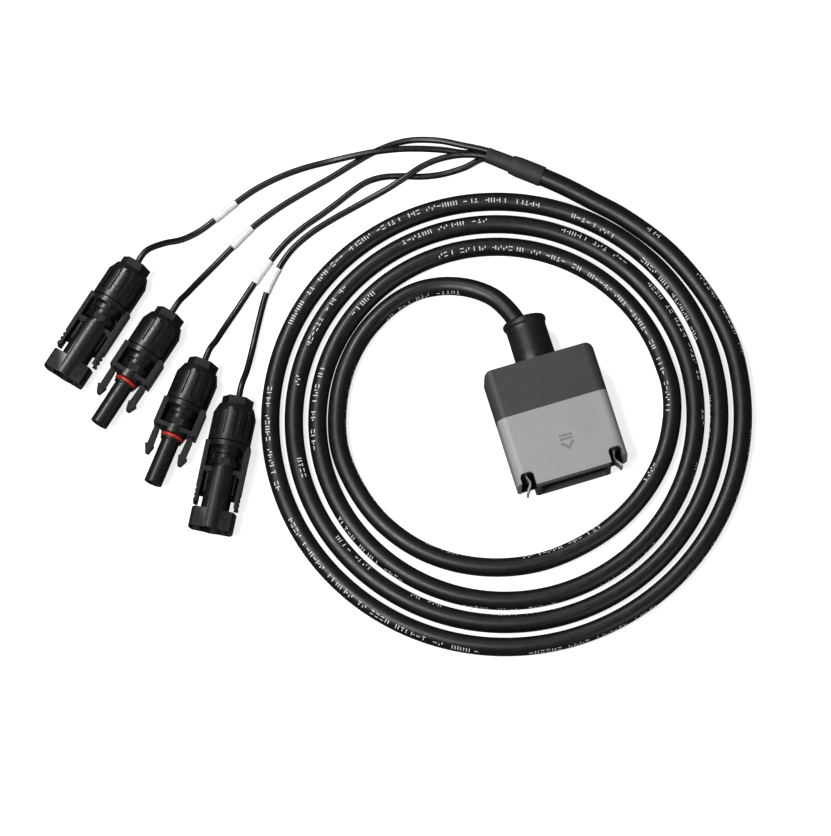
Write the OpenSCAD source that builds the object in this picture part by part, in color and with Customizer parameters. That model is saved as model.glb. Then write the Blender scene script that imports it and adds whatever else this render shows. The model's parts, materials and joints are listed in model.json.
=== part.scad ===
// Photovoltaic input harness of a micro inverter: a flat latching main plug, a coiled four-core cable,
// a two-step heat-shrink splitter and four single-core leads with round solar connectors.
// Frame: the main plug is inserted along -Y, +Z is up, the origin is the bottom centre of the plug.

/* [Main plug] */
// Width of the plug body
plug_w = 51.5; // [49:0.5:54]
// Thickness of the plug body
plug_t = 20; // [20:0.5:22]
// Length of the light front shell
front_len = 33.5; // [32:0.5:36]
// Length of the dark rear shell
rear_len = 23; // [22:0.5:26]
// Radius of the long edges of both shells
edge_r = 4.5; // [3.5:0.1:5]
// Radius of the rear corners in plan
rear_corner_r = 3.5; // [2:0.1:4]
// Wall thickness of the shells' sides
shell_wall = 2; // [1.8:0.1:2.2]
// Wall thickness of the shells' top and bottom
plate_wall = 1.55; // [1.4:0.05:1.6]
// Width of the middle tongue between the two latch notches
tongue_w = 35; // [34.6:0.1:35.4]
// Depth of the latch notches
notch_depth = 6.6; // [6:0.1:7]
// Distance that the side walls stop short of the tongue
wall_setback = 2.2; // [1.5:0.1:2.6]
// Distance between the power contacts
contact_pitch = 7.6; // [7.4:0.1:7.8]
// Bore radius of the power contacts
contact_bore_r = 1.8; // [1.6:0.1:1.9]

/* [Boot] */
// Length of the boot behind the rear shell
boot_len = 20.5; // [19:0.5:22]
// Outer radius of the boot
boot_r = 9.3; // [9:0.1:9.5]
// Outer radius of the lip at the boot's end
boot_lip_r = 10; // [9.6:0.1:10]

/* [Cable and splitter] */
// Outer diameter of the four-core cable
cable_d = 8.4; // [8:0.1:8.4]
// Outer diameter of the single-core leads
wire_d = 2.9; // [2.7:0.1:2.9]
// Radius of the spiral at turn 0
coil_r0 = 111.5; // [110:0.5:113]
// Radius lost per turn of the spiral
coil_pitch = 10.6; // [9:0.1:11]
// Outer diameter of the wide splitter sleeve
wide_sleeve_d = 9.4; // [9.2:0.1:9.4]
// Outer diameter of the narrow splitter sleeve
narrow_sleeve_d = 7.7; // [7.6:0.1:8]
// Outer diameter of the marker sleeves
marker_d = 3.5; // [3.4:0.1:3.6]

/* [Solar connectors] */
// Outer diameter of the cap nut
nut_d = 19.5; // [19:0.1:19.5]
// Distance across the flats of the cap nut's hexagon
nut_hex = 12.4; // [12.2:0.2:13]
// Length of the cap nut
nut_len = 21.5; // [21:0.1:21.5]
// Length of the socket connectors
socket_len = 62; // [61:0.5:63]
// Length of the plug connectors
pin_len = 60.5; // [60:0.5:61]
// Radius of the plug connectors' nose
nose_r = 4.15; // [4:0.05:4.2]
// Radial clearance of running fits
run_fit = 0.05; // [0.03:0.01:0.08]

/* [Hidden] */
$fn = 64;
eps = 0.05;

// Plug levels along Y, with the latch tips 2 mm ahead of the tongue
tip_reach = 2;
rear_y = (front_len + rear_len + tip_reach - boot_len) / 2;
joint_y = rear_y - rear_len;
front_y = joint_y - front_len;
notch_y = front_y + notch_depth;
mid_z = plug_t / 2;
base_y = notch_y + 4;
nose_face_y = front_y - 0.8;
pocket_y = nose_face_y + 3;
contact_x = [for (i = [-1.5:1:1.5]) i * contact_pitch];
latch_x = 20.5;
latch_t = 0.9;
latch_h = 8;
latch_path = [[0, 4.4], [0, -0.6], [-0.8, -2.9], [-0.6, -4.7], [0.8, -6.5], [1.6, -8.15]];

// The spiral's turns are counted clockwise from the direction 17 degrees right of +Y
coil_centre = [-22.5, 0.8];
coil_turn0 = 17;
coil_start = 0.2;
coil_end = 3.2;
coil_steps = 72;
cable_z = cable_d / 2;

function coil_radius(t) = coil_r0 - coil_pitch * t;
function coil_point(t) = [
    coil_centre.x + coil_radius(t) * sin(360 * t + coil_turn0),
    coil_centre.y + coil_radius(t) * cos(360 * t + coil_turn0),
    cable_z
];

// Splitter: rear end of the wide sleeve, heading, and the lengths of its two sleeves
splitter_start = [28.5, 103];
splitter_heading = 140.5;
splitter_z = wide_sleeve_d / 2;
wide_len = 15;
narrow_len = 12;
jacket_end = 11;
core_offset = wire_d / 2;

// A point s mm along the splitter, a half wire to the outer side and up
function splitter_point(s, side = 0, lift = 0) = [
    splitter_start.x + s * cos(splitter_heading) + side * sin(splitter_heading),
    splitter_start.y + s * sin(splitter_heading) - side * cos(splitter_heading),
    splitter_z + lift
];

// Connectors: position of the cap nut's rear face, and heading
connector_place = [
    [-158.7, 115.6, -139],
    [-150.8, 88.8, -139],
    [-143, 62.7, -129],
    [-133.1, 41.8, -118.5]
];
axis_z = nut_d / 2;

// A point x mm ahead of connector i's rear face, on its axis
function connector_point(i, x) = let (c = connector_place[i - 1])
    [c[0] + x * cos(c[2]), c[1] + x * sin(c[2]), axis_z];

// Free part of the cable between the boot and the coil
inner_lead_route = [
    [0, 12, mid_z], [0, 20, mid_z], [-0.8, 30, mid_z], [-2.7, 39, 9.8], [-5.4, 47.1, 8.9],
    [-10, 55, 7.4], [-19, 62.5, 5.6], [-30, 67, 4.4], [-42.5, 68, 4.2], [-55.5, 64.5, 4.2],
    [-70.5, 55.5, 4.2], [-83, 42, 4.2], [-91.5, 26, 4.2], [-96, 8, 4.2], [-94.5, -11, 4.2],
    [-88.5, -29, 4.2], [-77.5, -45, 4.2], [-63, -57, 4.2], [-45.5, -65, 4.2], [-26.5, -68.5, 4.2],
    [-7, -67, 4.2], [11.5, -61.5, 4.2], [28.5, -51.5, 4.2], [42, -38, 4.2], [51, -22, 4.2],
    [54.8, -8, 4.2], coil_point(coil_end)
];
// Free part of the cable between the coil and the splitter
outer_lead_route = [
    coil_point(coil_start), [83.5, 25.5, 4.2], [73.5, 51.7, 4.2], [58.5, 73.5, 4.2], [47.5, 85, 4.3],
    [37.5, 95, 4.6], splitter_point(0), splitter_point(jacket_end)
];
// Free part of each single-core lead between the splitter and its connector
wire_routes = [
    [[-2, 124.5, 3.2], [-9.5, 128, 3.4], [-17.5, 131, 3.7], [-28, 134, 4.4], [-39.5, 136.2, 4.6],
     [-51, 137.7, 3.4], [-62, 138.8, 1.7], [-73.5, 139.2, 1.5], [-85.5, 138.3, 1.5],
     [-97, 136, 1.6], [-107.3, 132.4, 1.8], [-119.1, 127.4, 1.8], [-127.3, 124.4, 1.6],
     [-136, 122.7, 2.8], [-144.7, 122.3, 6.6]],
    [[-2.5, 128, 5.2], [-9, 132, 4.2], [-16, 135.3, 2.9], [-23.5, 137.6, 1.9], [-31.5, 138.2, 1.5],
     [-41.5, 137, 1.5], [-51.5, 134.5, 1.5], [-63.5, 131.2, 1.5], [-76, 128.2, 1.5],
     [-90, 124.3, 1.6], [-103.9, 118.9, 1.8], [-115.3, 112.6, 1.8], [-125.7, 106.7, 1.6],
     [-134.5, 101.4, 3], [-141.3, 96.5, 6.6]],
    [[-4, 117.8, 2.6], [-14.5, 118.1, 1.6], [-23.5, 119.8, 1.5], [-32, 122.7, 1.5],
     [-40.5, 124.7, 1.5], [-48, 124.6, 1.5], [-55.5, 122.3, 1.5], [-63.5, 119, 1.5],
     [-72, 115.8, 1.5], [-81, 112.7, 1.5], [-91, 108, 1.6], [-100.3, 101.6, 1.8],
     [-110.7, 93.3, 1.8], [-121, 84.5, 1.6], [-129.2, 77.3, 3.2], [-134.7, 71.7, 6.6]],
    [[-2.5, 123, 5.4], [-12, 124.4, 4.9], [-21.5, 123.6, 4.6], [-30, 121, 4.6], [-38.5, 118.6, 3.6],
     [-47.5, 116.8, 2.2], [-57, 114.8, 1.5], [-68, 112.2, 1.5], [-79, 108.9, 1.5],
     [-89.5, 103.9, 1.6], [-97.9, 97, 1.8], [-106.3, 87.7, 1.8], [-113.5, 76, 1.6],
     [-120.3, 63.7, 2.6], [-125.7, 54.1, 6.2]]
];
// Which of each lead's route points the marker sleeve starts at
marker_at = [10, 10, 11, 10];
// Each lead's place in the splitter's square bundle: outer or inner side, upper or lower
bundle_side = [1, 1, -1, -1];
bundle_lift = [-1, 1, -1, 1];

function wire_path(i) = concat(
    [for (s = [jacket_end + 0.3, 19, wide_len + narrow_len])
        splitter_point(s, bundle_side[i - 1] * core_offset, bundle_lift[i - 1] * core_offset)],
    wire_routes[i - 1],
    [for (x = [-7, 3, 20.8]) connector_point(i, x)]
);

/* Shared shapes */

function unit(v) = v / norm(v);

// A closed tube along a list of points, one ring for each point
module tube(path, r, sides) {
    last = len(path) - 1;
    rings = [for (k = [0:last])
        let (
            ahead = unit(path[min(k + 1, last)] - path[max(k - 1, 0)]),
            across = unit(cross(ahead, [0, 0, 1])),
            up = cross(across, ahead)
        )
        for (j = [0:sides - 1])
            path[k] + r * (cos(360 * j / sides) * across + sin(360 * j / sides) * up)];
    walls = [for (k = [0:last - 1], j = [0:sides - 1])
        let (a = k * sides + j, b = k * sides + (j + 1) % sides)
        [a, b, b + sides, a + sides]];
    caps = [[for (j = [sides - 1:-1:0]) j], [for (j = [0:sides - 1]) last * sides + j]];
    polyhedron(points = rings, faces = concat(walls, caps), convexity = 10);
}

module round_rect(w, h, r) {
    square([w - 2 * r, h], center = true);
    square([w, h - 2 * r], center = true);
    for (sx = [-1, 1], sy = [-1, 1])
        translate([sx * (w / 2 - r), sy * (h / 2 - r)]) circle(r);
}

// A bar along Y between two levels, with the plug's rounded section made smaller by inset
module plug_bar(y0, y1, inset_x = 0, inset_z = 0) {
    r = max(edge_r - max(inset_x, inset_z), 1);
    translate([0, y1, mid_z]) rotate([90, 0, 0]) linear_extrude(y1 - y0)
        round_rect(plug_w - 2 * inset_x, plug_t - 2 * inset_z, r);
}

module box(x0, x1, y0, y1, z0, z1) {
    translate([x0, y0, z0]) cube([x1 - x0, y1 - y0, z1 - z0]);
}

// A cylinder along Y between two levels
module rod_y(x, z, y0, y1, r) {
    translate([x, y0, z]) rotate([-90, 0, 0]) cylinder(h = y1 - y0, r = r);
}

// A cylinder or cone along X between two levels, for the connectors' own frame
module rod(x0, x1, r0, r1 = undef) {
    translate([x0, 0, 0]) rotate([0, 90, 0])
        cylinder(h = x1 - x0, r1 = r0, r2 = is_undef(r1) ? r0 : r1);
}

module prism(x0, x1, r, sides, turn = 0) {
    translate([x0, 0, 0]) rotate([0, 90, 0]) rotate([0, 0, turn])
        cylinder(h = x1 - x0, r = r, $fn = sides);
}

// Sideways direction of a plan path at point k, longer at a bend so that the strip keeps its thickness
function side_at(path, k) =
    let (
        last = len(path) - 1,
        before = unit(path[max(k, 1)] - path[max(k, 1) - 1]),
        after = unit(path[min(k, last - 1) + 1] - path[min(k, last - 1)]),
        mean = unit(before + after)
    )
    [-mean.y, mean.x] / (mean * before);

// A flat strip of constant thickness along a plan path
module strip(path, t) {
    last = len(path) - 1;
    polygon(concat(
        [for (k = [0:last]) path[k] + t / 2 * side_at(path, k)],
        [for (k = [last:-1:0]) path[k] - t / 2 * side_at(path, k)]
    ));
}

module at_connector(i) {
    c = connector_place[i - 1];
    translate([c[0], c[1], axis_z]) rotate([0, 0, c[2]]) children();
}

/* Main plug */

// Plan outline of the rear shell, rounded at its two rear corners
module rear_plan() {
    r = rear_corner_r;
    translate([-plug_w / 2, joint_y]) square([plug_w, rear_len - r]);
    translate([-plug_w / 2 + r, joint_y]) square([plug_w - 2 * r, rear_len]);
    for (s = [-1, 1]) translate([s * (plug_w / 2 - r), rear_y - r]) circle(r);
}

rear_wall = 2.5;
boot_neck_r = 7;

module plug_rear_shell() {
    color("#4b4b4b") difference() {
        intersection() {
            plug_bar(joint_y, rear_y);
            linear_extrude(plug_t) rear_plan();
        }
        plug_bar(joint_y - 1, rear_y - rear_wall, shell_wall, plate_wall);
        rod_y(0, mid_z, rear_y - rear_wall - 1, rear_y + 1, boot_neck_r + eps);
    }
}

// Plan outline of one latch notch on the +X side, rounded at its inner end
module notch_plan() {
    x0 = tongue_w / 2;
    x1 = plug_w / 2 - shell_wall;
    r = 2;
    translate([x0, front_y - 5]) square([x1 - x0, notch_depth + 5 - r]);
    translate([x0 + r, front_y - 5]) square([x1 - x0 - 2 * r, notch_depth + 5]);
    for (x = [x0 + r, x1 - r]) translate([x, notch_y - r]) circle(r);
}

lip_len = 3;
lip_wall = 1.2;

module plug_front_shell() {
    color("#a4a4a4") difference() {
        union() {
            plug_bar(front_y, joint_y);
            plug_bar(joint_y - 1, joint_y + lip_len, shell_wall + eps, plate_wall + eps);
        }
        plug_bar(front_y - 1, joint_y - 2, shell_wall, plate_wall);
        plug_bar(joint_y - 3, joint_y + lip_len + 1, shell_wall + lip_wall, plate_wall + lip_wall);
        for (s = [0, 1]) mirror([s, 0, 0]) {
            translate([0, 0, -1]) linear_extrude(plug_t + 2) notch_plan();
            box(plug_w / 2 - shell_wall - eps, plug_w, front_y - 1, front_y + wall_setback,
                -1, plug_t + 1);
        }
    }
}

pocket_w = 31;
pocket_h = 12.6;
seal_rib = 1.2;
seal_t = 0.9;

// A bar along Y from one level forwards, with the pocket's rounded section made smaller by inset
module pocket_bar(y, length, inset) {
    translate([0, y, mid_z]) rotate([90, 0, 0]) linear_extrude(length)
        round_rect(pocket_w - 2 * inset, pocket_h - 2 * inset, 2.5 - inset);
}

contact_r = 2.7;
contact_mouth_r = 2.0;

module plug_contact_block() {
    nose_x = tongue_w / 2 - 0.4;
    nose_z = plate_wall + eps;
    tower_y = notch_y + 14.4;
    color("#3a3a3a") difference() {
        union() {
            translate([0, notch_y, mid_z]) rotate([90, 0, 0]) linear_extrude(notch_y - nose_face_y)
                round_rect(2 * nose_x, plug_t - 2 * nose_z, 1.2);
            plug_bar(notch_y, base_y, shell_wall + eps, nose_z);
            box(-15.5, 15.5, base_y, tower_y, 3.5, plug_t - 3.5);
        }
        for (x = contact_x) {
            rod_y(x, mid_z, pocket_y - 1, pocket_y + 2, contact_mouth_r);
            rod_y(x, mid_z, pocket_y + 1.8, tower_y + 1, contact_r + eps);
        }
        for (s = [-1, 1])
            box(s * latch_x - 1.2, s * latch_x + 1.2, notch_y - 1, base_y + 1,
                mid_z - latch_h / 2 - 0.4, mid_z + latch_h / 2 + 0.4);
        pocket_bar(pocket_y, 4, 0);
    }
}

module plug_face_seal() {
    color("#1d1d1d") difference() {
        pocket_bar(pocket_y, seal_t, 0.1);
        pocket_bar(pocket_y + 1, seal_t + 2, seal_rib);
    }
}

// Four turned brass sockets, each with a crimp barrel for its core
module plug_power_contacts() {
    y0 = pocket_y + 1.8;
    color("#c9a24b") for (x = contact_x) difference() {
        union() {
            rod_y(x, mid_z, y0, y0 + 22, contact_r);
            rod_y(x, mid_z, y0 + 22, y0 + 28, 2.2);
        }
        rod_y(x, mid_z, y0 - 1, y0 + 10, contact_bore_r);
        rod_y(x, mid_z, y0 + 23, y0 + 29, wire_d / 2 + eps);
    }
}

// A spring-steel hook on the +X side
module latch() {
    color("#a9a9a9") translate([latch_x, notch_y, mid_z - latch_h / 2])
        linear_extrude(latch_h) strip(latch_path, latch_t);
}

// A soft sleeve with a bead at its end and a bore that flares so that the cable can bend
module plug_boot() {
    lip = boot_len - 3;
    bore_r = cable_d / 2 + 0.1;
    color("#2b2b2b") translate([0, rear_y, mid_z]) rotate([-90, 0, 0]) difference() {
        union() {
            translate([0, 0, -4.5]) cylinder(h = 2, r = 8.5);
            translate([0, 0, -3]) cylinder(h = 3.5, r = boot_neck_r);
            cylinder(h = lip, r = boot_r);
            translate([0, 0, lip - 0.5]) cylinder(h = 0.5, r1 = boot_r, r2 = boot_lip_r);
            translate([0, 0, lip]) cylinder(h = 2.2, r = boot_lip_r);
            translate([0, 0, lip + 2.2]) cylinder(h = 0.8, r1 = boot_lip_r, r2 = boot_lip_r - 0.6);
        }
        translate([0, 0, -6]) cylinder(h = boot_len, r = bore_r);
        translate([0, 0, 1]) cylinder(h = boot_len, r1 = bore_r, r2 = 7.9);
    }
}

module plug_cable_clamp() {
    y0 = rear_y - 11.5;
    color("#6b6b6b") difference() {
        box(-13, 13, y0, y0 + 6.8, plate_wall + 0.3, plug_t - plate_wall - 0.3);
        rod_y(0, mid_z, y0 - 1, y0 + 8, cable_d / 2 + eps);
        for (x = [-9, 9]) translate([x, y0 + 3.4, -1]) cylinder(h = plug_t + 2, r = 1.5);
    }
}

// The four cores between the cable's cut end and the contacts
module plug_cores() {
    end_y = pocket_y + 25;
    color("#303030") for (k = [0:3]) {
        side = k < 2 ? -1 : 1;
        lift = k % 2 == 0 ? 1 : -1;
        start = [side * core_offset, 11.8, mid_z + lift * core_offset];
        tube([start, start - [0, 4, 0], [contact_x[k], end_y + 6, mid_z], [contact_x[k], end_y, mid_z]],
            wire_d / 2 - eps, 8);
    }
}

/* Cable, splitter and leads */

module cable_inner_lead() {
    color("#1f1f1f") tube(inner_lead_route, cable_d / 2, 10);
}

module cable_outer_lead() {
    color("#1f1f1f") tube(outer_lead_route, cable_d / 2, 10);
}

// Plan outline of one whole turn of the spiral from turn t, moved outwards by offset_r
function turn_outline(t, offset_r) = [for (k = [0:coil_steps])
    let (u = t + k / coil_steps, p = coil_point(u), out = unit([p.x, p.y] - coil_centre))
    [p.x, p.y] + offset_r * out];

// Outer shape of all the spiral's turns: the first turn bounds it outside, the last one inside
module cable_coil() {
    color("#1f1f1f") linear_extrude(cable_d) difference() {
        polygon(turn_outline(coil_start, cable_d / 2));
        polygon(turn_outline(coil_end - 1, -cable_d / 2));
    }
}

module splitter_sleeve(s, length, r_out, r_in) {
    translate(splitter_point(s)) rotate([0, 90, splitter_heading]) difference() {
        cylinder(h = length, r = r_out);
        translate([0, 0, -1]) cylinder(h = length + 2, r = r_in);
    }
}

module splitter_wide_sleeve() {
    color("#2a2a2a") splitter_sleeve(0, wide_len, wide_sleeve_d / 2, cable_d / 2 + eps);
}

module splitter_narrow_sleeve() {
    color("#2a2a2a") splitter_sleeve(wide_len, narrow_len, narrow_sleeve_d / 2, 2.42 * core_offset);
}

module branch_wire(i) {
    color("#1b1b1b") tube(wire_path(i), wire_d / 2, 8);
}

module marker_sleeve(i) {
    start = wire_routes[i - 1][marker_at[i - 1]];
    run = wire_routes[i - 1][marker_at[i - 1] + 1] - start;
    color("#e8e8e8") translate(start) rotate([0, 90, atan2(run.y, run.x)]) difference() {
        cylinder(h = norm(run), r = marker_d / 2);
        translate([0, 0, -1]) cylinder(h = norm(run) + 2, r = wire_d / 2 + eps);
    }
}

/* Solar connectors, each drawn along +X from the rear face of its cap nut */

thread_r = 7.55;
gland_r = 5.3;
channel_r = 2.9;
barrel_r = 6.45;
spigot_x = 11.4;
shoulder_x = 21.9;
shoulder_r = 9.4;
neck_x = 24.2;
neck_r = 5.4;
hex_len = 4.8;
cone_x = 8.3;
groove_count = 14;
groove_w = 2;
groove_depth = 0.9;

module connector_cap_nut(i) {
    hex_r = nut_hex / 2 / cos(30);
    color("#1e1e1e") at_connector(i) difference() {
        union() {
            prism(0, hex_len, hex_r, 6, 30);
            rod(hex_len - 0.8, cone_x, 8, nut_d / 2);
            rod(cone_x, nut_len, nut_d / 2);
        }
        rod(-1, 6, 3.2);
        rod(5, nut_len + 1, thread_r + run_fit);
        for (k = [0:groove_count - 1]) rotate([360 / groove_count * (k + 0.5), 0, 0])
            box(cone_x - 1.9, nut_len - 2.5, -groove_w / 2, groove_w / 2,
                nut_d / 2 - groove_depth, nut_d);
    }
}

// The six-finger cage that the nut drives onto the gland seal
module connector_clamp_cage(i) {
    color("#3c3c3c") at_connector(i) difference() {
        union() {
            rod(5.3, 7.5, thread_r - 0.02);
            rod(7.5, 10.8, 5);
        }
        rod(4, 7.6, 2.2);
        rod(7.5, 12, 2.6);
        for (k = [0:2]) rotate([60 * k, 0, 0]) box(7.8, 12, -6, 6, -0.4, 0.4);
    }
}

module connector_gland_seal(i) {
    color("#5a5a5a") at_connector(i) difference() {
        rod(11.3, 16.8, gland_r - 0.1);
        rod(10, 18, wire_d / 2 + eps);
    }
}

// Threaded spigot, shoulder and the stepped neck with its octagon
module housing_rear() {
    rod(spigot_x, shoulder_x, thread_r);
    rod(shoulder_x, neck_x, shoulder_r);
    rod(neck_x - eps, neck_x + 2.8, neck_r + 1.1);
    rod(neck_x + 2.7, neck_x + 10.8, neck_r);
    prism(neck_x + 5.2, neck_x + 8.2, neck_r + 1.3, 8, 22.5);
}

module housing_bores(front_x) {
    rod(spigot_x - 1, 17, gland_r);
    rod(16.9, front_x, channel_r);
}

// A bar along X on both sides of the axis, between two distances from it
module side_bars(x0, x1, y0, y1, half_h) {
    for (s = [0, 1]) mirror([0, s, 0]) box(x0, x1, y0, y1, -half_h, half_h);
}

socket_half_w = 10.25;
rail_h = 8.4;
rail_end_x = 50.8;
collar_x = 53.3;

module socket_housing(i) {
    color("#1e1e1e") at_connector(i) difference() {
        union() {
            housing_rear();
            rod(neck_x + 9.8, socket_len, barrel_r);
            // side rails, joined by webs and a cradle plate, and parted from the collar by a gap
            side_bars(shoulder_x, rail_end_x, 8.2, socket_half_w, rail_h / 2);
            side_bars(33.9, 45, 5.5, 8.3, 2.2);
            side_bars(33.9, 35.9, 4, 9.5, rail_h / 2);
            box(shoulder_x, 46.5, -socket_half_w, socket_half_w, -rail_h / 2, -3.1);
            // collar with flat top and bottom around the mouth
            intersection() {
                rod(collar_x, socket_len, socket_half_w);
                box(collar_x - 1, socket_len + 1, -socket_half_w, socket_half_w, -5.6, 5.6);
            }
        }
        housing_bores(39);
        rod(38.9, socket_len + 1, nose_r + 0.2);
        rod(socket_len - 5, socket_len + 1, 5.35);
        // side pockets that take the mating latch arms
        side_bars(36.2, socket_len + 1, 6.7, 9.35, 3);
        // grip teeth on the rails' outer faces
        for (s = [-1, 1], x = [44.5:2.2:49])
            translate([x, s * socket_half_w, 0]) rotate([0, 0, 45]) cube([1.1, 1.1, 12], center = true);
    }
}

pin_half_w = 10.05;
cheek_end_x = 35;
cheek_h = 10.8;

module pin_housing(i) {
    color("#1e1e1e") at_connector(i) difference() {
        union() {
            housing_rear();
            // cheeks, front wall and cradle plate around the neck
            side_bars(shoulder_x, cheek_end_x, 7.7, pin_half_w, cheek_h / 2);
            box(cheek_end_x - 2, cheek_end_x, -pin_half_w, pin_half_w, -cheek_h / 2, cheek_h / 2);
            box(shoulder_x, cheek_end_x, -pin_half_w, pin_half_w, -cheek_h / 2, 1 - cheek_h / 2);
            rod(cheek_end_x - 2, 36.6, 5.9);
            rod(36.5, 38.8, 3.65);
            rod(38.7, 39.5, 5);
            rod(39.4, pin_len, nose_r);
        }
        housing_bores(40);
        rod(39.9, pin_len + 1, 2.6);
    }
}

// A solid brass contact with a crimp barrel; the socket connectors hold a pin
module pin_contact(i) {
    color("#c7b27a") at_connector(i) difference() {
        union() {
            rod(17.2, 24, 2.3);
            rod(23.9, 38.5, 2.8);
            rod(38.4, 51, 2);
            rod(51, 52, 2, 1.2);
        }
        rod(17, 21, wire_d / 2 + eps);
    }
}

module socket_contact(i) {
    color("#c7b27a") at_connector(i) difference() {
        union() {
            rod(17.2, 24, 2.3);
            rod(23.9, 39.5, 2.8);
            rod(39.4, 57, 2.55);
        }
        rod(17, 21, wire_d / 2 + eps);
        rod(44, 58, 2.02);
    }
}

module o_ring(i) {
    color("#be322d") at_connector(i) rotate([0, 90, 0]) translate([0, 0, 37.65])
        rotate_extrude() translate([3.65 + 0.95, 0]) circle(0.95, $fn = 24);
}

arm_pivot = [36.6, 8];

// One latch arm of a plug connector, side = 1 for the left arm seen from behind
module latch_arm(i, side) {
    t = 1.25;
    outline = [
        [arm_pivot.x, arm_pivot.y - t], [44.2, 6.5], [44.6, 5.9], [48.6, 7],
        [48.6, 8.6], [44.9, 10.2], [44.4, 9.2], [arm_pivot.x, arm_pivot.y + t]
    ];
    color("#222222") at_connector(i) mirror([0, side > 0 ? 0 : 1, 0])
        translate([0, 0, -2.6]) linear_extrude(5.2) {
            polygon(outline);
            translate(arm_pivot) circle(t);
        }
}

plug_rear_shell();
plug_front_shell();
plug_contact_block();
plug_power_contacts();
plug_face_seal();
mirror([1, 0, 0]) latch();  // plug_latch_left
latch();  // plug_latch_right
plug_boot();
plug_cable_clamp();
plug_cores();
cable_inner_lead();
cable_coil();
cable_outer_lead();
splitter_wide_sleeve();
splitter_narrow_sleeve();
branch_wire(1);  // branch_wire_1
branch_wire(2);  // branch_wire_2
branch_wire(3);  // branch_wire_3
branch_wire(4);  // branch_wire_4
marker_sleeve(1);  // marker_sleeve_1
marker_sleeve(2);  // marker_sleeve_2
marker_sleeve(3);  // marker_sleeve_3
marker_sleeve(4);  // marker_sleeve_4
socket_housing(1);  // connector_1_housing
connector_cap_nut(1);  // connector_1_cap_nut
connector_clamp_cage(1);  // connector_1_clamp_cage
connector_gland_seal(1);  // connector_1_gland_seal
pin_contact(1);  // connector_1_contact
pin_housing(2);  // connector_2_housing
connector_cap_nut(2);  // connector_2_cap_nut
connector_clamp_cage(2);  // connector_2_clamp_cage
connector_gland_seal(2);  // connector_2_gland_seal
socket_contact(2);  // connector_2_contact
o_ring(2);  // connector_2_o_ring
latch_arm(2, 1);  // connector_2_latch_left
latch_arm(2, -1);  // connector_2_latch_right
pin_housing(3);  // connector_3_housing
connector_cap_nut(3);  // connector_3_cap_nut
connector_clamp_cage(3);  // connector_3_clamp_cage
connector_gland_seal(3);  // connector_3_gland_seal
socket_contact(3);  // connector_3_contact
o_ring(3);  // connector_3_o_ring
latch_arm(3, 1);  // connector_3_latch_left
latch_arm(3, -1);  // connector_3_latch_right
socket_housing(4);  // connector_4_housing
connector_cap_nut(4);  // connector_4_cap_nut
connector_clamp_cage(4);  // connector_4_clamp_cage
connector_gland_seal(4);  // connector_4_gland_seal
pin_contact(4);  // connector_4_contact
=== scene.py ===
"""Looks of a micro inverter's solar input cable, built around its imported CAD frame."""

import json
import math
import random

import bmesh
import bpy
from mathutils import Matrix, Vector


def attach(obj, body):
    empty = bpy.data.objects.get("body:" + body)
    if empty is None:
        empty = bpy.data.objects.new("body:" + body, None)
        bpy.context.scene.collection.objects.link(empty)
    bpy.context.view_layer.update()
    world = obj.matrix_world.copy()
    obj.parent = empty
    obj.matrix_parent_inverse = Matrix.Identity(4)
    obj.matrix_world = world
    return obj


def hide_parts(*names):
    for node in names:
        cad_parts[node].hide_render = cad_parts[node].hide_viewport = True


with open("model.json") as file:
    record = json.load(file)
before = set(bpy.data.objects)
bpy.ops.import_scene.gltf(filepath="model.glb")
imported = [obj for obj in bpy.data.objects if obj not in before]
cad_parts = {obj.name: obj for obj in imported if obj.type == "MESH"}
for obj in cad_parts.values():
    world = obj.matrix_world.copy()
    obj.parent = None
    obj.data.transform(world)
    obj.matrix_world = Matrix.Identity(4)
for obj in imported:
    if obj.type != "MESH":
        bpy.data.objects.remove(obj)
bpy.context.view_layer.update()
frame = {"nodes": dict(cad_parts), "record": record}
MM = 0.001

# ---------------------------------------------------------------- driving dimensions, in millimetres

# Main plug: the level of its top, and the boot behind it
PLUG_TOP = 20
BOOT_START = 19
BOOT_LEN = 20.5
BOOT_R = 9.3
BOOT_LIP_R = 10

# Cable, leads and the two sleeves of the splitter
CABLE_D = 8.4
WIRE_D = 2.9
WIDE_SLEEVE_D = 9.4
WIDE_LEN = 15
NARROW_SLEEVE_D = 7.7
NARROW_LEN = 12
JACKET_END = 11
SPLITTER_START = (28.5, 103)
SPLITTER_HEADING = 140.5
SPLITTER_Z = WIDE_SLEEVE_D / 2
CORE_OFFSET = WIRE_D / 2

# Spiral: turns are counted clockwise from COIL_TURN0 degrees right of +Y
COIL_CENTRE = (-22.5, 0.8)
COIL_R0 = 111.5
COIL_PITCH = 10.6
COIL_TURN0 = 17
COIL_START = 0.2
COIL_END = 3.2
COIL_STEPS = 40

# Connectors: place of the cap nut's rear face and heading
NUT_D = 19.5
CONNECTOR_PLACE = [
    (-158.7, 115.6, -139),
    (-150.8, 88.8, -139),
    (-143, 62.7, -129),
    (-133.1, 41.8, -118.5),
]
AXIS_Z = NUT_D / 2

# ---------------------------------------------------------------- camera

VIEW_AZIMUTH = -17
VIEW_ELEVATION = 75
VIEW_DISTANCE = 4
VIEW_HEIGHT = 0.3762
VIEW_TARGET = Vector((-58.9, 12.7, 0)) * MM
SENSOR = 36


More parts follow.
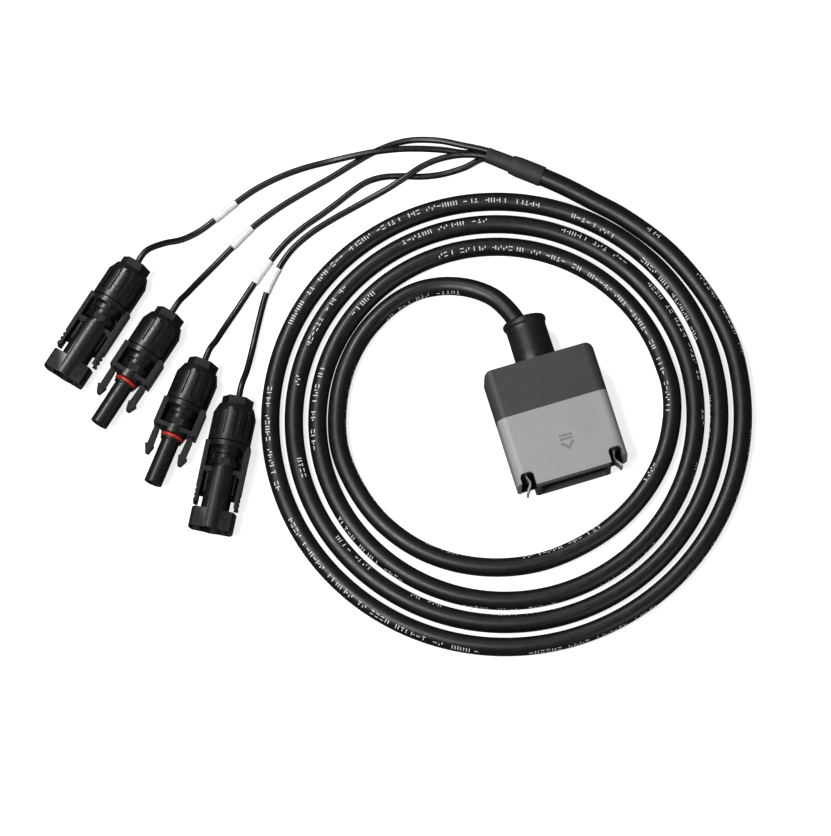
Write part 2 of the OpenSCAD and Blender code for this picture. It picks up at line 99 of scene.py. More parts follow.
def make_camera():
    """The camera looks down on the coil from the front, turned a little to the left."""
    a, e = math.radians(VIEW_AZIMUTH), math.radians(VIEW_ELEVATION)
    back = Vector((math.sin(a) * math.cos(e), -math.cos(a) * math.cos(e), math.sin(e)))
    data = bpy.data.cameras.new("camera")
    data.sensor_width = SENSOR
    data.lens = SENSOR * VIEW_DISTANCE / VIEW_HEIGHT
    data.clip_start, data.clip_end = 0.05, 20
    camera = bpy.data.objects.new("camera", data)
    bpy.context.scene.collection.objects.link(camera)
    camera.location = VIEW_TARGET + back * VIEW_DISTANCE
    camera.rotation_mode = "QUATERNION"
    camera.rotation_quaternion = (-back).to_track_quat("-Z", "Y")
    bpy.context.scene.camera = camera


make_camera()

# ---------------------------------------------------------------- routes, the same as the CAD frame's


def coil_point(turn):
    """A point on the spiral, at the given number of turns."""
    radius = COIL_R0 - COIL_PITCH * turn
    angle = math.radians(360 * turn + COIL_TURN0)
    return (COIL_CENTRE[0] + radius * math.sin(angle),
            COIL_CENTRE[1] + radius * math.cos(angle), CABLE_D / 2)


def splitter_point(s, side=0.0, lift=0.0):
    """A point s mm along the splitter, side mm to its outer side and lift mm up."""
    h = math.radians(SPLITTER_HEADING)
    return (SPLITTER_START[0] + s * math.cos(h) + side * math.sin(h),
            SPLITTER_START[1] + s * math.sin(h) - side * math.cos(h), SPLITTER_Z + lift)


def connector_point(i, x):
    """A point x mm ahead of connector i's rear face, on its axis."""
    cx, cy, heading = CONNECTOR_PLACE[i]
    h = math.radians(heading)
    return (cx + x * math.cos(h), cy + x * math.sin(h), AXIS_Z)


INNER_LEAD = [
    (0, 12, 10), (0, 20, 10), (-0.8, 30, 10), (-2.7, 39, 9.8), (-5.4, 47.1, 8.9), (-10, 55, 7.4),
    (-19, 62.5, 5.6), (-30, 67, 4.4), (-42.5, 68, 4.2), (-55.5, 64.5, 4.2), (-70.5, 55.5, 4.2),
    (-83, 42, 4.2), (-91.5, 26, 4.2), (-96, 8, 4.2), (-94.5, -11, 4.2), (-88.5, -29, 4.2),
    (-77.5, -45, 4.2), (-63, -57, 4.2), (-45.5, -65, 4.2), (-26.5, -68.5, 4.2), (-7, -67, 4.2),
    (11.5, -61.5, 4.2), (28.5, -51.5, 4.2), (42, -38, 4.2), (51, -22, 4.2), (54.8, -8, 4.2),
]
OUTER_LEAD = [
    (83.5, 25.5, 4.2), (73.5, 51.7, 4.2), (58.5, 73.5, 4.2), (47.5, 85, 4.3), (37.5, 95, 4.6),
    splitter_point(0), splitter_point(JACKET_END),
]
WIRE_ROUTES = [
    [(-2, 124.5, 3.2), (-9.5, 128, 3.4), (-17.5, 131, 3.7), (-28, 134, 4.4),
     (-39.5, 136.2, 4.6), (-51, 137.7, 3.4), (-62, 138.8, 1.7), (-73.5, 139.2, 1.5),
     (-85.5, 138.3, 1.5), (-97, 136, 1.6), (-107.3, 132.4, 1.8), (-119.1, 127.4, 1.8),
     (-127.3, 124.4, 1.6), (-136, 122.7, 2.8), (-144.7, 122.3, 6.6)],
    [(-2.5, 128, 5.2), (-9, 132, 4.2), (-16, 135.3, 2.9), (-23.5, 137.6, 1.9),
     (-31.5, 138.2, 1.5), (-41.5, 137, 1.5), (-51.5, 134.5, 1.5), (-63.5, 131.2, 1.5),
     (-76, 128.2, 1.5), (-90, 124.3, 1.6), (-103.9, 118.9, 1.8), (-115.3, 112.6, 1.8),
     (-125.7, 106.7, 1.6), (-134.5, 101.4, 3), (-141.3, 96.5, 6.6)],
    [(-4, 117.8, 2.6), (-14.5, 118.1, 1.6), (-23.5, 119.8, 1.5), (-32, 122.7, 1.5),
     (-40.5, 124.7, 1.5), (-48, 124.6, 1.5), (-55.5, 122.3, 1.5), (-63.5, 119, 1.5),
     (-72, 115.8, 1.5), (-81, 112.7, 1.5), (-91, 108, 1.6), (-100.3, 101.6, 1.8),
     (-110.7, 93.3, 1.8), (-121, 84.5, 1.6), (-129.2, 77.3, 3.2), (-134.7, 71.7, 6.6)],
    [(-2.5, 123, 5.4), (-12, 124.4, 4.9), (-21.5, 123.6, 4.6), (-30, 121, 4.6),
     (-38.5, 118.6, 3.6), (-47.5, 116.8, 2.2), (-57, 114.8, 1.5), (-68, 112.2, 1.5),
     (-79, 108.9, 1.5), (-89.5, 103.9, 1.6), (-97.9, 97, 1.8), (-106.3, 87.7, 1.8),
     (-113.5, 76, 1.6), (-120.3, 63.7, 2.6), (-125.7, 54.1, 6.2)],
]
MARKER_AT = [10, 10, 11, 10]
BUNDLE_SIDE = [1, 1, -1, -1]
BUNDLE_LIFT = [-1, 1, -1, 1]


def cable_route():
    """From the plug's cable clamp, round the spiral from its inside, to the splitter."""
    steps = round((COIL_END - COIL_START) * COIL_STEPS)
    coil = [coil_point(COIL_END - k / COIL_STEPS) for k in range(steps + 1)]
    return [Vector(p) * MM for p in INNER_LEAD + coil + OUTER_LEAD]


def wire_route(i):
    """From the cut end of the cable's jacket to the crimp barrel of connector i."""
    side, lift = BUNDLE_SIDE[i] * CORE_OFFSET, BUNDLE_LIFT[i] * CORE_OFFSET
    start = [splitter_point(s, side, lift)
             for s in (JACKET_END + 0.3, 19, WIDE_LEN + NARROW_LEN)]
    end = [connector_point(i, x) for x in (-7, 3, 20.8)]
    return [Vector(p) * MM for p in start + WIRE_ROUTES[i] + end]


def smooth(points, step):
    """Points about step apart on a centripetal Catmull-Rom curve through the given points."""
    ends = [2 * points[0] - points[1], *points, 2 * points[-1] - points[-2]]
    out = []
    for k in range(1, len(ends) - 2):
        p0, p1, p2, p3 = ends[k - 1:k + 3]
        t1 = (p1 - p0).length ** 0.5
        t2 = t1 + (p2 - p1).length ** 0.5
        t3 = t2 + (p3 - p2).length ** 0.5
        count = max(1, round((p2 - p1).length / step))
        for j in range(count):
            t = t1 + (t2 - t1) * j / count
            a1 = p0 * ((t1 - t) / t1) + p1 * (t / t1)
            a2 = p1 * ((t2 - t) / (t2 - t1)) + p2 * ((t - t1) / (t2 - t1))
            a3 = p2 * ((t3 - t) / (t3 - t2)) + p3 * ((t - t2) / (t3 - t2))
            b1 = a1 * ((t2 - t) / t2) + a2 * (t / t2)
            b2 = a2 * ((t3 - t) / (t3 - t1)) + a3 * ((t - t1) / (t3 - t1))
            out.append(b1 * ((t2 - t) / (t2 - t1)) + b2 * ((t - t1) / (t2 - t1)))
    return out + [points[-1]]


def lengths(path):
    """Distance along the path at each of its points."""
    out = [0.0]
    for a, b in zip(path, path[1:]):
        out.append(out[-1] + (b - a).length)
    return out


def axes_at(path, k):
    """Direction, sideways and upward unit vectors of a path at point k."""
    ahead = (path[min(k + 1, len(path) - 1)] - path[max(k - 1, 0)]).normalized()
    across = ahead.cross(Vector((0, 0, 1))).normalized()
    return ahead, across, across.cross(ahead)


# ---------------------------------------------------------------- mesh helpers


def new_piece(name, verts, faces, material, smooth_angle=40):
    """A mesh object of the given material, with its normals facing out."""
    mesh = bpy.data.meshes.new(name)
    mesh.from_pydata([tuple(v) for v in verts], [], faces)
    bm = bmesh.new()
    bm.from_mesh(mesh)
    bmesh.ops.recalc_face_normals(bm, faces=bm.faces)
    bm.to_mesh(mesh)
    bm.free()
    mesh.shade_smooth()
    mesh.set_sharp_from_angle(angle=math.radians(smooth_angle))
    mesh.materials.append(material)
    piece = bpy.data.objects.new(name, mesh)
    bpy.context.scene.collection.objects.link(piece)
    return piece


def loft(rings, closed=False):
    """Faces of a skin over rings of equal length, with end caps unless it closes on itself."""
    n, count = len(rings[0]), len(rings)
    faces = []
    for k in range(count if closed else count - 1):
        a, b = k * n, (k + 1) % count * n
        for j in range(n):
            i = (j + 1) % n
            faces.append((a + j, a + i, b + i, b + j))
    if not closed:
        faces.append(tuple(range(n - 1, -1, -1)))
        faces.append(tuple((count - 1) * n + j for j in range(n)))
    return [v for ring in rings for v in ring], faces


def tube_rings(path, radius, sides):
    """A ring of the given radius round each point of the path."""
    rings = []
    for k, p in enumerate(path):
        _, across, up = axes_at(path, k)
        ring = []
        for j in range(sides):
            a = 2 * math.pi * j / sides
            ring.append(p + radius * (math.cos(a) * across + math.sin(a) * up))
        rings.append(ring)
    return rings


# ---------------------------------------------------------------- materials


def srgb(hex_colour):
    """Linear colour of a hex string."""
    out = []
    for k in (1, 3, 5):
        c = int(hex_colour[k:k + 2], 16) / 255
        out.append(c / 12.92 if c <= 0.04045 else ((c + 0.055) / 1.055) ** 2.4)
    return (*out, 1)


def node(tree, kind, **values):
    """A node with its properties and input defaults set."""
    made = tree.nodes.new("ShaderNode" + kind)
    for key, value in values.items():
        if key in made.inputs:
            made.inputs[key].default_value = value
        else:
            setattr(made, key, value)
    return made


def moulded(name, low, high, roughness, grain, depth, patch=0.012, metallic=0.0,
            stretch=(1, 1, 1), specular=0.5):
    """A procedural surface: colour drifts between low and high over patches, roughness over finer
    ones, and a fine grain of the given size and depth in metres gives the bump."""
    mat = bpy.data.materials.new(name)
    mat.use_nodes = True
    tree = mat.node_tree
    shader = tree.nodes["Principled BSDF"]
    shader.inputs["Metallic"].default_value = metallic
    shader.inputs["Specular IOR Level"].default_value = specular
    where = node(tree, "TexCoord")
    scaled = node(tree, "Mapping")
    scaled.inputs["Scale"].default_value = stretch
    tree.links.new(where.outputs["Object"], scaled.inputs["Vector"])

    def noise(size, detail):
        made = node(tree, "TexNoise", Scale=1 / size, Detail=detail, Roughness=0.55)
        tree.links.new(scaled.outputs["Vector"], made.inputs["Vector"])
        return made.outputs["Fac"]

    ramp = node(tree, "ValToRGB")
    ramp.color_ramp.elements[0].position, ramp.color_ramp.elements[1].position = 0.35, 0.65
    ramp.color_ramp.elements[0].color, ramp.color_ramp.elements[1].color = srgb(low), srgb(high)
    tree.links.new(noise(patch, 3), ramp.inputs["Fac"])
    tree.links.new(ramp.outputs["Color"], shader.inputs["Base Color"])
    spread = node(tree, "MapRange")
    spread.inputs["From Min"].default_value, spread.inputs["From Max"].default_value = 0.3, 0.7
    spread.inputs["To Min"].default_value = roughness - 0.05
    spread.inputs["To Max"].default_value = roughness + 0.06
    tree.links.new(noise(patch / 6, 2), spread.inputs["Value"])
    tree.links.new(spread.outputs["Result"], shader.inputs["Roughness"])
    bump = node(tree, "Bump", Strength=1.0, Distance=depth)
    tree.links.new(noise(grain, 4), bump.inputs["Height"])
    tree.links.new(bump.outputs["Normal"], shader.inputs["Normal"])
    return mat


CABLE_SHEATH = moulded("cable_sheath", "#070707", "#0c0c0c", 0.4, 0.0011, 0.000004, 0.02,
                       specular=0.5)
WIRE_INSULATION = moulded("wire_insulation", "#080808", "#0d0d0d", 0.34, 0.0008, 0.000003,
                          0.015, specular=0.6)
HEAT_SHRINK = moulded("heat_shrink", "#262626", "#2e2e2e", 0.6, 0.0016, 0.00001, 0.006,
                      specular=0.35)
WHITE_MARKER = moulded("white_marker", "#d6d6d6", "#e6e6e6", 0.42, 0.0012, 0.00003, 0.003)
REAR_SHELL = moulded("dark_grey_plastic", "#383838", "#3c3c3c", 0.46, 0.00035, 0.000008,
                     specular=0.35)
FRONT_SHELL = moulded("light_grey_plastic", "#929292", "#979797", 0.4, 0.00035, 0.000008,
                      specular=0.45)
INSULATOR = moulded("dark_insulator", "#434343", "#4b4b4b", 0.5, 0.0006, 0.00001, specular=0.3)
# Near-black lining of the latch notches: painted shade where the notch's hollow falls dark
WELL_PAINTED_SHADE = moulded("latch_well_painted_shade", "#060606", "#0a0a0a", 0.6, 0.0006, 0.00001, specular=0.2)
BLACK_RUBBER = moulded("black_rubber", "#121212", "#191919", 0.4, 0.0005, 0.00001, 0.008,
                       specular=0.4)
STEEL = moulded("spring_steel", "#9c9c9c", "#b4b4b4", 0.45, 0.0006, 0.00001, 0.002, 0.45,
                (1, 0.1, 1))
BRASS = moulded("brass", "#b8923e", "#d0ab58", 0.28, 0.0004, 0.00001, 0.003, 1.0)
RED_RUBBER = moulded("red_rubber", "#8e1f19", "#a0281f", 0.36, 0.0004, 0.00001, 0.003)
GREY_RUBBER = moulded("grey_rubber", "#555555", "#616161", 0.6, 0.0005, 0.00001, 0.003)
CAGE = moulded("cage_plastic", "#262626", "#303030", 0.45, 0.0005, 0.00001, 0.004)
CONNECTOR = moulded("connector_plastic", "#0d0d0d", "#131313", 0.34, 0.0007, 0.000001, 0.006,
                    specular=0.45)
INK = moulded("legend_ink", "#c4c4c4", "#dadada", 0.55, 0.0004, 0.00001, 0.002)
MARK_GREY = moulded("insertion_mark", "#6e6e6e", "#787878", 0.55, 0.0004, 0.00001, 0.002)

SLOT_MATERIALS = {
    "cable_sheath": CABLE_SHEATH,
    "wire_insulation": WIRE_INSULATION,
    "heat_shrink": HEAT_SHRINK,
    "white_marker": WHITE_MARKER,
    "dark_grey_plastic": REAR_SHELL,
    "light_grey_plastic": FRONT_SHELL,
    "dark_insulator": INSULATOR,
    "black_rubber": BLACK_RUBBER,
    "spring_steel": STEEL,
    "brass": BRASS,
    "red_rubber": RED_RUBBER,
    "grey_rubber": GREY_RUBBER,
    "cage_plastic": CAGE,
    "connector_plastic": CONNECTOR,
}

# ---------------------------------------------------------------- cords

CABLE_SIDES = 32
WIRE_SIDES = 20
CABLE_STEP = 2.2
WIRE_STEP = 1.6

cable_path = smooth(cable_route(), CABLE_STEP * MM)
verts, faces = loft(tube_rings(cable_path, CABLE_D / 2 * MM, CABLE_SIDES))
cable = new_piece("main_cable", verts, faces, CABLE_SHEATH)
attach(cable, "harness")
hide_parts("cable_inner_lead", "cable_coil", "cable_outer_lead")

wires = []
wire_paths = []
for i in range(4):
    path = smooth(wire_route(i), WIRE_STEP * MM)
    verts, faces = loft(tube_rings(path, WIRE_D / 2 * MM, WIRE_SIDES))
    wire = new_piece(f"lead_wire_{i + 1}", verts, faces, WIRE_INSULATION)
    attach(wire, "harness")
    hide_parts(f"branch_wire_{i + 1}")
    wires.append(wire)
    wire_paths.append(path)

# ---------------------------------------------------------------- printed legend on the cable

# Abstract marks, each a few strokes (from, to along the cable; from, to around it), in mm
LEGEND_MARKS = [
    [(0, 0.45, -1, 1)],
    [(0, 0.45, -1, 0.1), (1.25, 1.7, -0.1, 1)],
    [(0, 1.7, -1, -0.6), (0, 1.7, 0.6, 1)],
    [(0, 1.7, -0.22, 0.22)],
    [(0, 0.45, -1, 1), (1.25, 1.7, -1, 1)],
    [(0, 0.45, -1, 1), (0.9, 1.7, -0.25, 0.25)],
    [(0.1, 1.6, 0.6, 1), (0.6, 1.05, -1, 0.2)],
]
LEGEND_PITCH = 2.5
LEGEND_START = 60
LEGEND_STOP = 62
LEGEND_SEED = 11
# Chance of a short gap after a group of marks, and the lengths of short and long gaps
SHORT_GAP_CHANCE = 0.78
SHORT_GAP = (2, 3.4)
LONG_GAP = (12, 34)
# A stroke is bent round the cable in columns, from just under its skin to just above it
STROKE_COLUMN = 0.58
INK_ROOT = -0.06
INK_TOP = 0.045


class Along:
    """Places round a path, by distance along it, angle around it and distance from it."""

    def __init__(self, path):
        self.path, self.at = path, lengths(path)
        self.frames = [axes_at(path, k) for k in range(len(path))]
        self.k = 0

    def point(self, s, angle, radius):
        """The place at s metres along the path. Calls with nearby s are quick."""
        while self.k < len(self.at) - 2 and self.at[self.k + 1] < s:
            self.k += 1
        while self.k > 0 and self.at[self.k] > s:
            self.k -= 1
        k = self.k
        t = (s - self.at[k]) / (self.at[k + 1] - self.at[k])
        centre = self.path[k].lerp(self.path[k + 1], t)
        across = self.frames[k][1].lerp(self.frames[k + 1][1], t)
        up = self.frames[k][2].lerp(self.frames[k + 1][2], t)
        return centre + radius * (math.cos(angle) * across + math.sin(angle) * up)


def legend_angle(s):
    """The print wanders round the top of the cable, s metres along it, as the cable twists."""
    slow, quick = math.sin(s / 0.19 + 0.4), math.sin(s / 0.07)
    return math.radians(90 + 66 * slow + 20 * quick)


def stroke(place, s0, s1, v0, v1, verts, faces):
    """A thin closed patch on the cable's skin: s in metres along it, v in mm round it."""
    columns = max(1, math.ceil((v1 - v0) / STROKE_COLUMN))
    base = len(verts)
    for j in range(columns + 1):
        v = v0 + (v1 - v0) * j / columns
        for s, r in ((s0, INK_TOP), (s1, INK_TOP), (s1, INK_ROOT), (s0, INK_ROOT)):
            angle = legend_angle(s) + v / (CABLE_D / 2)
            verts.append(place.point(s, angle, (CABLE_D / 2 + r) * MM))
    for j in range(columns):
        a, b = base + 4 * j, base + 4 * j + 4
        faces += [(a + i, a + (i + 1) % 4, b + (i + 1) % 4, b + i) for i in range(4)]
    faces.append((base + 3, base + 2, base + 1, base))
    faces.append(tuple(base + 4 * columns + i for i in range(4)))


def make_legend():
    """Groups of small marks along the whole cable, in place of its printed legend."""
    rng = random.Random(LEGEND_SEED)
    place = Along(cable_path)
    verts, faces = [], []
    s, end = LEGEND_START * MM, place.at[-1] - LEGEND_STOP * MM
    while s < end:
        for _ in range(rng.randint(2, 6)):
            for u0, u1, v0, v1 in rng.choice(LEGEND_MARKS):
                stroke(place, s + u0 * MM, s + u1 * MM, v0, v1, verts, faces)
            s += LEGEND_PITCH * MM
        gap = SHORT_GAP if rng.random() < SHORT_GAP_CHANCE else LONG_GAP
        s += rng.uniform(*gap) * MM
    piece = new_piece("cable_legend", verts, faces, INK)
    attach(piece, "harness")
    return piece


legend = make_legend()

# ---------------------------------------------------------------- sleeves, markers and boot


def shell_tube(name, centres, frames, outer, inner, sides, material):
    """A closed sleeve: outer skin, rounded ends and inner skin. frames are the sideways and upward
    unit vectors at each centre; outer and inner are radii by point number and angle."""
    rings = []
    for skin, order in ((outer, range(len(centres))), (inner, range(len(centres) - 1, -1, -1))):
        for k in order:
            across, up = frames[k]
            ring = []
            for j in range(sides):
                a = 2 * math.pi * j / sides
                ring.append(centres[k] + skin(k, a) * (math.cos(a) * across + math.sin(a) * up))
            rings.append(ring)
    verts, faces = loft(rings, closed=True)
    return new_piece(name, verts, faces, material)


def rounded_end(s, length, radius):
    """How far a sleeve's skin is drawn in near its two ends."""
    d = min(s, length - s)
    return 0 if d >= radius else radius - math.sqrt(radius ** 2 - (radius - d) ** 2)


def bundle_radius(a):
    """Distance to the skin over four cores in a square, at angle a from the centre."""
    c, sn = abs(math.cos(a)), abs(math.sin(a))
    flat = 2 * CORE_OFFSET / max(c, sn)
    half = CORE_OFFSET * (c + sn)
    corner = half + math.sqrt(max(half ** 2 - CORE_OFFSET ** 2, 0))
    return min(flat, corner)


SLEEVE_STEP = 0.25
SLEEVE_WALL = 0.42
SLEEVE_SIDES = 48
SLEEVE_ENDS = (0, 0.08, 0.2, 0.4)
WRINKLE = 0.02


def make_splitter_sleeve(name, s0, s1, outer, inner, replaced):
    """One of the two heat-shrink sleeves, with soft ends and a few shallow wrinkles."""
    length = s1 - s0
    stations = [*SLEEVE_ENDS]
    stations += [SLEEVE_STEP * k for k in range(3, round(length / SLEEVE_STEP) - 2)]
    stations += [length - e for e in reversed(SLEEVE_ENDS)]
    centres = [Vector(splitter_point(s0 + s)) * MM for s in stations]
    h = math.radians(SPLITTER_HEADING)
    axes = (Vector((math.sin(h), -math.cos(h), 0)), Vector((0, 0, 1)))

    def skin(k, a):
        s = stations[k]
        ripple = WRINKLE * math.sin(2.1 * s + 2 * math.sin(a)) * math.sin(0.7 * s + a) ** 2
        return (outer(s / length, a) - rounded_end(s, length, SLEEVE_WALL) * 0.9 + ripple) * MM

    def bore(k, a):
        return inner(stations[k] / length, a) * MM

    piece = shell_tube(name, centres, [axes] * len(centres), skin, bore, SLEEVE_SIDES, HEAT_SHRINK)
    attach(piece, "harness")
    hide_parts(replaced)
    return piece


def ease(t):
    """Smooth step from 0 to 1."""
    t = min(max(t, 0), 1)
    return t * t * (3 - 2 * t)


def wide_skin(t, a):
    """Nearly round over the jacket, drawn in over the cores at its front end."""
    return WIDE_SLEEVE_D / 2 - 0.3 * ease((t - 0.72) / 0.26)


def narrow_skin(t, a):
    """Round under the wide sleeve, then shrunk into the four cores' outline."""
    round_r = NARROW_SLEEVE_D / 2 - 0.1
    shrunk = max(bundle_radius(a) + 0.36, 3.5)
    return round_r + (shrunk - round_r) * ease((t - 0.2) / 0.8)


def wide_bore(t, a):
    """Shrunk tight on the jacket."""
    return CABLE_D / 2 - 0.02


def narrow_bore(t, a):
    """Shrunk tight on the four cores."""
    return bundle_radius(a) + 0.03


splitter_sleeves = [
    make_splitter_sleeve("splitter_wide_skin", -0.4, WIDE_LEN, wide_skin, wide_bore,
                         "splitter_wide_sleeve"),
    make_splitter_sleeve("splitter_narrow_skin", WIDE_LEN - 2, WIDE_LEN + NARROW_LEN,
                         narrow_skin, narrow_bore, "splitter_narrow_sleeve"),
]

MARKER_LEN = 12.6
MARKER_WALL = 0.36
MARKER_SIDES = 28
MARKER_STEP = 0.35
MARKER_ENDS = (0, 0.06, 0.16, 0.3)
CREASE_PITCH = 1.4
CREASE_DEPTH = 0.035


def make_marker(i):
    """A white marker sleeve that follows its wire, with faint rings where it is creased."""
    path = wire_paths[i]
    start = Vector(WIRE_ROUTES[i][MARKER_AT[i]]) * MM
    first = min(range(len(path)), key=lambda k: (path[k] - start).length)
    place = Along(path)
    s0 = place.at[first]
    stations = [*MARKER_ENDS, *(0.4 + MARKER_STEP * k for k in range(34))]
    stations += [MARKER_LEN - e for e in reversed(MARKER_ENDS)]
    centres, frames = [], []
    for s in stations:
        centre = place.point(s0 + s * MM, 0, 0)
        centres.append(centre)
        across = (place.point(s0 + s * MM, 0, 1) - centre).normalized()
        frames.append((across, place.point(s0 + s * MM, math.pi / 2, 1) - centre))

    def skin(k, a):
        s = stations[k]
        crease = CREASE_DEPTH * math.sin(2 * math.pi * s / CREASE_PITCH) ** 4
        r = WIRE_D / 2 + MARKER_WALL - crease - rounded_end(s, MARKER_LEN, MARKER_WALL * 0.7)
        return r * MM

    def bore(k, a):
        return (WIRE_D / 2 - 0.02) * MM

    piece = shell_tube(f"marker_skin_{i + 1}", centres, frames, skin, bore, MARKER_SIDES,
                       WHITE_MARKER)
    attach(piece, "harness")
    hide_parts(f"marker_sleeve_{i + 1}")
    return piece


markers = [make_marker(i) for i in range(4)]

# Boot profile in mm, as distance behind the rear shell and radius: outside, then back along the bore
BOOT_SIDES = 72
BOOT_OUTER = [
    (-2.4, 6.95), (0.02, 6.95), (0.02, BOOT_R - 0.25), (0.15, BOOT_R - 0.08), (0.4, BOOT_R),
    (5, BOOT_R - 0.05), (10, BOOT_R - 0.12), (14.5, BOOT_R - 0.15), (16.4, BOOT_R - 0.12),
    (17.1, BOOT_R), (17.5, BOOT_R + 0.25), (17.9, BOOT_R + 0.5), (18.4, BOOT_LIP_R - 0.06),
    (19, BOOT_LIP_R), (19.5, BOOT_LIP_R - 0.06), (20, BOOT_LIP_R - 0.3), (20.3, BOOT_LIP_R - 0.65),
    (BOOT_LEN, BOOT_LIP_R - 1.1),
]
BOOT_BORE = [
    (BOOT_LEN, 8.5), (20.3, 8.15), (19.8, 7.85), (17, 7.3), (13, 6.6), (9, 5.9), (5, 5.2), (1, 4.5),
    (-2.4, 4.3),
]


def make_boot():
    """The soft boot, turned round the cable's axis, with a bead at its end and a flared bore."""
    turns = [2 * math.pi * j / BOOT_SIDES for j in range(BOOT_SIDES)]
    rings = []
    for y, r in BOOT_OUTER + BOOT_BORE:
        rings.append([Vector((r * math.cos(a), BOOT_START + y, PLUG_TOP / 2 + r * math.sin(a))) * MM
                      for a in turns])
    verts, faces = loft(rings, closed=True)
    piece = new_piece("boot_skin", verts, faces, BLACK_RUBBER, 50)
    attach(piece, "harness")
    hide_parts("plug_boot")


make_boot()

# ---------------------------------------------------------------- mark on the plug

# Outlines of the mark's parts round its centre, in mm, and how far its ink goes under and above the top
MARK_CENTRE = (1.3, -22)
MARK_DEPTH = 0.05
MARK_SHAPES = [
    [(-3.2, -1.2), (0, -4.4), (3.2, -1.2), (2.3, -0.3), (0, -2.6), (-2.3, -0.3)],
    [(-3, 1.3), (-3, 0.3), (3, 0.3), (3, 1.3)],
    [(-3, 3), (-3, 2), (3, 2), (3, 3)],
]


def make_mark():
    """A generic insertion mark, printed as a thin relief: an arrow to the mating end and two bars."""
    verts, faces = [], []
    for shape in MARK_SHAPES:
        base, n = len(verts), len(shape)
        for z in (PLUG_TOP - MARK_DEPTH, PLUG_TOP + MARK_DEPTH):
            verts += [Vector((MARK_CENTRE[0] + x, MARK_CENTRE[1] + y, z)) * MM for x, y in shape]
        faces.append(tuple(base + j for j in range(n)))
        faces.append(tuple(base + n + j for j in range(n - 1, -1, -1)))
        for j in range(n):
            i = (j + 1) % n
            faces.append((base + i, base + j, base + n + j, base + n + i))
    piece = new_piece("insertion_mark", verts, faces, MARK_GREY)
    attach(piece, "harness")


make_mark()

# ---------------------------------------------------------------- painted shade: near-black wells behind the latch hooks

# Boxes of the well on the +X side, in mm: a floor under the hook, and a back wall in two halves
WELL_BOXES = [
    ((17.7, 23.6), (-35.1, -30.95), (1.7, 4.4)),
    ((17.7, 18.9), (-31.6, -30.95), (4.4, 18.2)),
    ((22.2, 23.6), (-31.6, -30.95), (4.4, 18.2)),
]


def make_well(name, side):
    """Near-black boxes of painted shade in one latch notch, where its hollow falls dark; the hook
    stands clear of them at rest and flexed.
    """
    verts, faces = [], []
    for xs, ys, zs in WELL_BOXES:
        base = len(verts)
        verts += [Vector((side * x, y, z)) * MM for z in zs for y in ys for x in xs]
        faces += [tuple(base + c for c in quad) for quad in (
            (0, 1, 3, 2), (4, 6, 7, 5), (0, 4, 5, 1), (2, 3, 7, 6), (0, 2, 6, 4), (1, 5, 7, 3))]
    # The near-black material paints the shade inside the notch
    piece = new_piece(name, verts, faces, WELL_PAINTED_SHADE, 30)
    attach(piece, "harness")


make_well("latch_well_left", -1)
make_well("latch_well_right", 1)

# ---------------------------------------------------------------- CAD nodes that stay

# Widths of the rounded edges of the CAD nodes that show, in mm
EDGE_ROUNDING = {
    "plug_rear_shell": 0.45,
    "plug_front_shell": 0.3,
    "plug_contact_block": 0.25,
    "plug_latch": 0.12,
    "cap_nut": 0.16,
    "housing": 0.2,
    "connector_latch": 0.2,
}


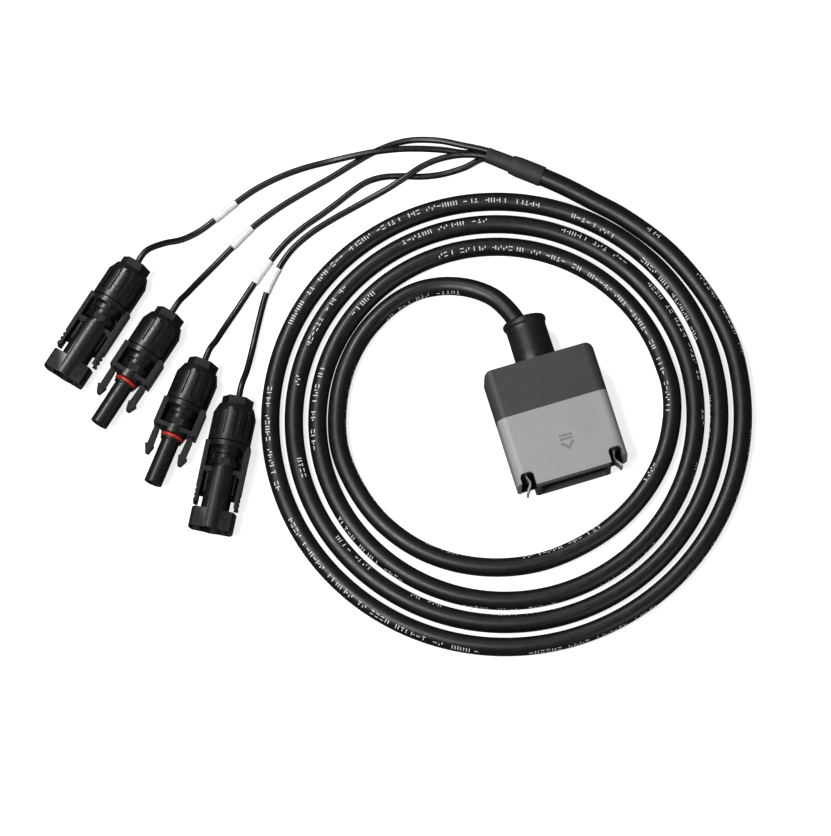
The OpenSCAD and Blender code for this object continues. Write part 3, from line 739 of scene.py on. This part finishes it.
def finish_cad_nodes():
    """Gives each CAD node that still shows its slot's material and softens its edges."""
    slots = {part["node"]: part["material_slot"] for part in frame["record"]["subparts"]}
    for name, piece in frame["nodes"].items():
        if piece.hide_render:
            continue
        piece.data.materials.clear()
        piece.data.materials.append(SLOT_MATERIALS[slots[name]])
        kind = "connector_latch" if name.startswith("connector") and "latch" in name else name
        width = next((w for key, w in EDGE_ROUNDING.items() if key in kind), 0)
        if width:
            weld = piece.modifiers.new("weld", "WELD")
            weld.merge_threshold = 0.001 * MM
            bevel = piece.modifiers.new("edges", "BEVEL")
            bevel.width = width * MM
            bevel.segments = 2
            bevel.limit_method = "ANGLE"
            bevel.angle_limit = math.radians(32)
            bevel.use_clamp_overlap = True
            shading = piece.modifiers.new("shading", "WEIGHTED_NORMAL")
            shading.keep_sharp = False


finish_cad_nodes()

for i, wire in enumerate(wires):
    on_it = [frame["nodes"][n] for n in frame["nodes"] if n.startswith(f"connector_{i + 1}_")]
    on_it.append(markers[i])

# ---------------------------------------------------------------- floor and light


# Area lights: name, place in metres, size in metres and power in watts
LIGHTS = [
    ("key", (-0.95, -0.1, 1.15), 0.5, 10),
    ("top", (-0.49, 1.07, 1.26), 0.34, 14.5),
    ("wash", (-0.6, -0.17, 1.49), 0.34, 10),
    ("fill", (0.6, -1.2, 0.6), 0.7, 3),
]
FLOOR_Z = -0.3
FLOOR_GREY = 0.6
FLOOR_GLOW = 0.78
WORLD_STRENGTH = 0.09


def make_stage():
    """A plain pale floor and soft studio light from above and the left."""
    material = bpy.data.materials.new("floor")
    material.use_nodes = True
    shader = material.node_tree.nodes["Principled BSDF"]
    shader.inputs["Base Color"].default_value = (FLOOR_GREY, FLOOR_GREY, FLOOR_GREY, 1)
    shader.inputs["Roughness"].default_value = 0.9
    shader.inputs["Emission Color"].default_value = (1, 1, 1, 1)
    shader.inputs["Emission Strength"].default_value = FLOOR_GLOW
    bpy.ops.mesh.primitive_plane_add(size=6, location=(0, 0, FLOOR_Z * MM))
    floor = bpy.context.object
    floor.name = "floor"
    floor.data.materials.append(material)
    floor.visible_diffuse = floor.visible_glossy = False
    world = bpy.data.worlds.new("studio")
    world.use_nodes = True
    world.node_tree.nodes["Background"].inputs["Color"].default_value = (1, 1, 1, 1)
    world.node_tree.nodes["Background"].inputs["Strength"].default_value = WORLD_STRENGTH
    bpy.context.scene.world = world
    for name, place, size, power in LIGHTS:
        data = bpy.data.lights.new(name, "AREA")
        data.size = size
        data.energy = power
        light = bpy.data.objects.new(name, data)
        bpy.context.scene.collection.objects.link(light)
        light.location = place
        light.rotation_mode = "QUATERNION"
        light.rotation_quaternion = (VIEW_TARGET - Vector(place)).to_track_quat("-Z", "Y")


make_stage()
bpy.context.scene.view_settings.view_transform = "Standard"
